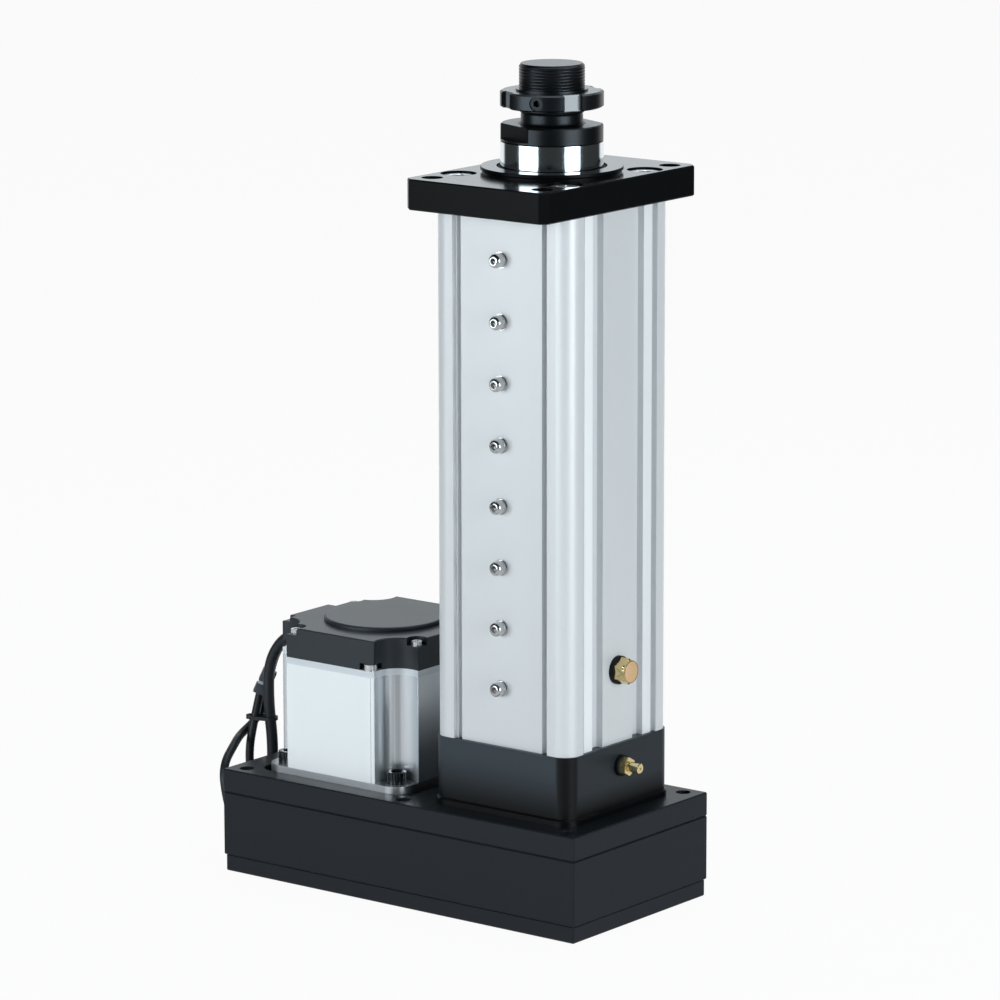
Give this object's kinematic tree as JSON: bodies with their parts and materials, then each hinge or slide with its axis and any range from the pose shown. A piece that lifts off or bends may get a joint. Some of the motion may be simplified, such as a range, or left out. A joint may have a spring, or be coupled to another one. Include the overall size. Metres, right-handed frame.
{
  "type": "servo electric cylinder",
  "caption": "Electric cylinder with a motor folded beside an extruded barrel on a belt box, a chromed rod with threaded end, and a front flange.",
  "frame": {"origin": "on the screw and rod axis, in the plane of the underside of the bottom cover", "axes": "+Z along the rod, the way it extends; +X along the belt box, from the motor to the barrel's end"},
  "size_m": [0.2514, 0.1257, 0.4165],
  "materials": {
    "base_coat": "satin dark blue-grey coating",
    "black_coat": "satin black coating, glossier on top",
    "profile": "satin clear anodised",
    "chrome": "polished hard chrome",
    "steel": "turned and ground",
    "zinc": "bright zinc",
    "black_steel": "black oxide",
    "carrier": "machined",
    "bronze": "sintered bronze",
    "brass": "turned brass",
    "seal": "matte black",
    "belt": "matte black with toothed underside",
    "slide": "filled slide plastic",
    "motor_body": "light grey, bare",
    "motor_cover": "fine texture",
    "lead": "soft jacket",
    "plug": "moulded",
    "tie": "moulded"
  },
  "bodies": {
    "base": {"base_top_plate": "base_coat", "belt_box_body": "base_coat", "bottom_cover": "base_coat", "top_plate_screws": "black_steel", "bottom_cover_screws": "black_steel", "bearing_housing": "black_coat", "housing_bolts": "black_steel", "bearing_outer_rings": "steel", "bearing_rollers": "steel", "tube_profile": "profile", "front_flange": "black_coat", "front_flange_screws": "zinc", "gland_ring": "black_steel", "rod_bush": "bronze", "rod_seal": "seal", "wiper_seal": "seal", "guide_rail": "steel", "guide_rail_screws": "zinc", "guide_rail_washers": "zinc", "breather_plug": "brass", "breather_element": "bronze", "breather_washer": "seal", "grease_nipple": "brass", "grease_nipple_washer": "seal", "motor_flange": "carrier", "motor_stator": "motor_body", "motor_end_bell": "carrier", "motor_cap": "motor_cover", "motor_through_bolts": "zinc", "motor_cap_screws": "zinc", "motor_mount_screws": "black_steel", "motor_mount_nuts": "zinc", "motor_bearings": "steel", "timing_belt": "belt", "lead_grommet": "seal", "motor_lead": "lead", "motor_lead_plug": "plug", "encoder_lead": "lead", "encoder_connector": "plug", "cable_tie": "tie"},
    "rod": {"piston_rod": "chrome", "rod_end": "black_steel", "lock_nut": "black_steel", "lock_nut_set_screw": "black_steel", "nut_carrier": "carrier", "carrier_wear_bands": "slide", "ball_nut": "steel", "nut_screws": "black_steel", "slide_pads": "slide"},
    "screw": {"screw_shaft": "steel", "bearing_inner_rings": "steel", "bearing_lock_nut": "steel", "driven_pulley": "carrier", "driven_pulley_key": "steel", "driven_pulley_washer": "steel", "driven_pulley_screw": "black_steel", "screw_tip_bush": "slide"},
    "rotor": {"motor_shaft": "steel", "motor_rotor": "black_steel", "drive_pulley": "carrier"}
  },
  "joints": [
    {"name": "rod_slide", "type": "slide", "parent": "base", "child": "rod", "axis": [0, 0, 1], "range_m": [0, 0.15]},
    {"name": "screw_spin", "type": "hinge", "parent": "base", "child": "screw", "pos_m": [0, 0, 0.2], "axis": [0, 0, 1], "range_deg": [-5400, 0]},
    {"name": "motor_spin", "type": "hinge", "parent": "base", "child": "rotor", "pos_m": [-0.105, 0, 0.08], "axis": [0, 0, 1], "range_deg": [-5400, 0]}
  ],
  "couplings": [
    {"joint": "screw_spin", "follows": "rod_slide", "rad_per_m": -628.32},
    {"joint": "motor_spin", "follows": "rod_slide", "rad_per_m": -628.32}
  ]
}
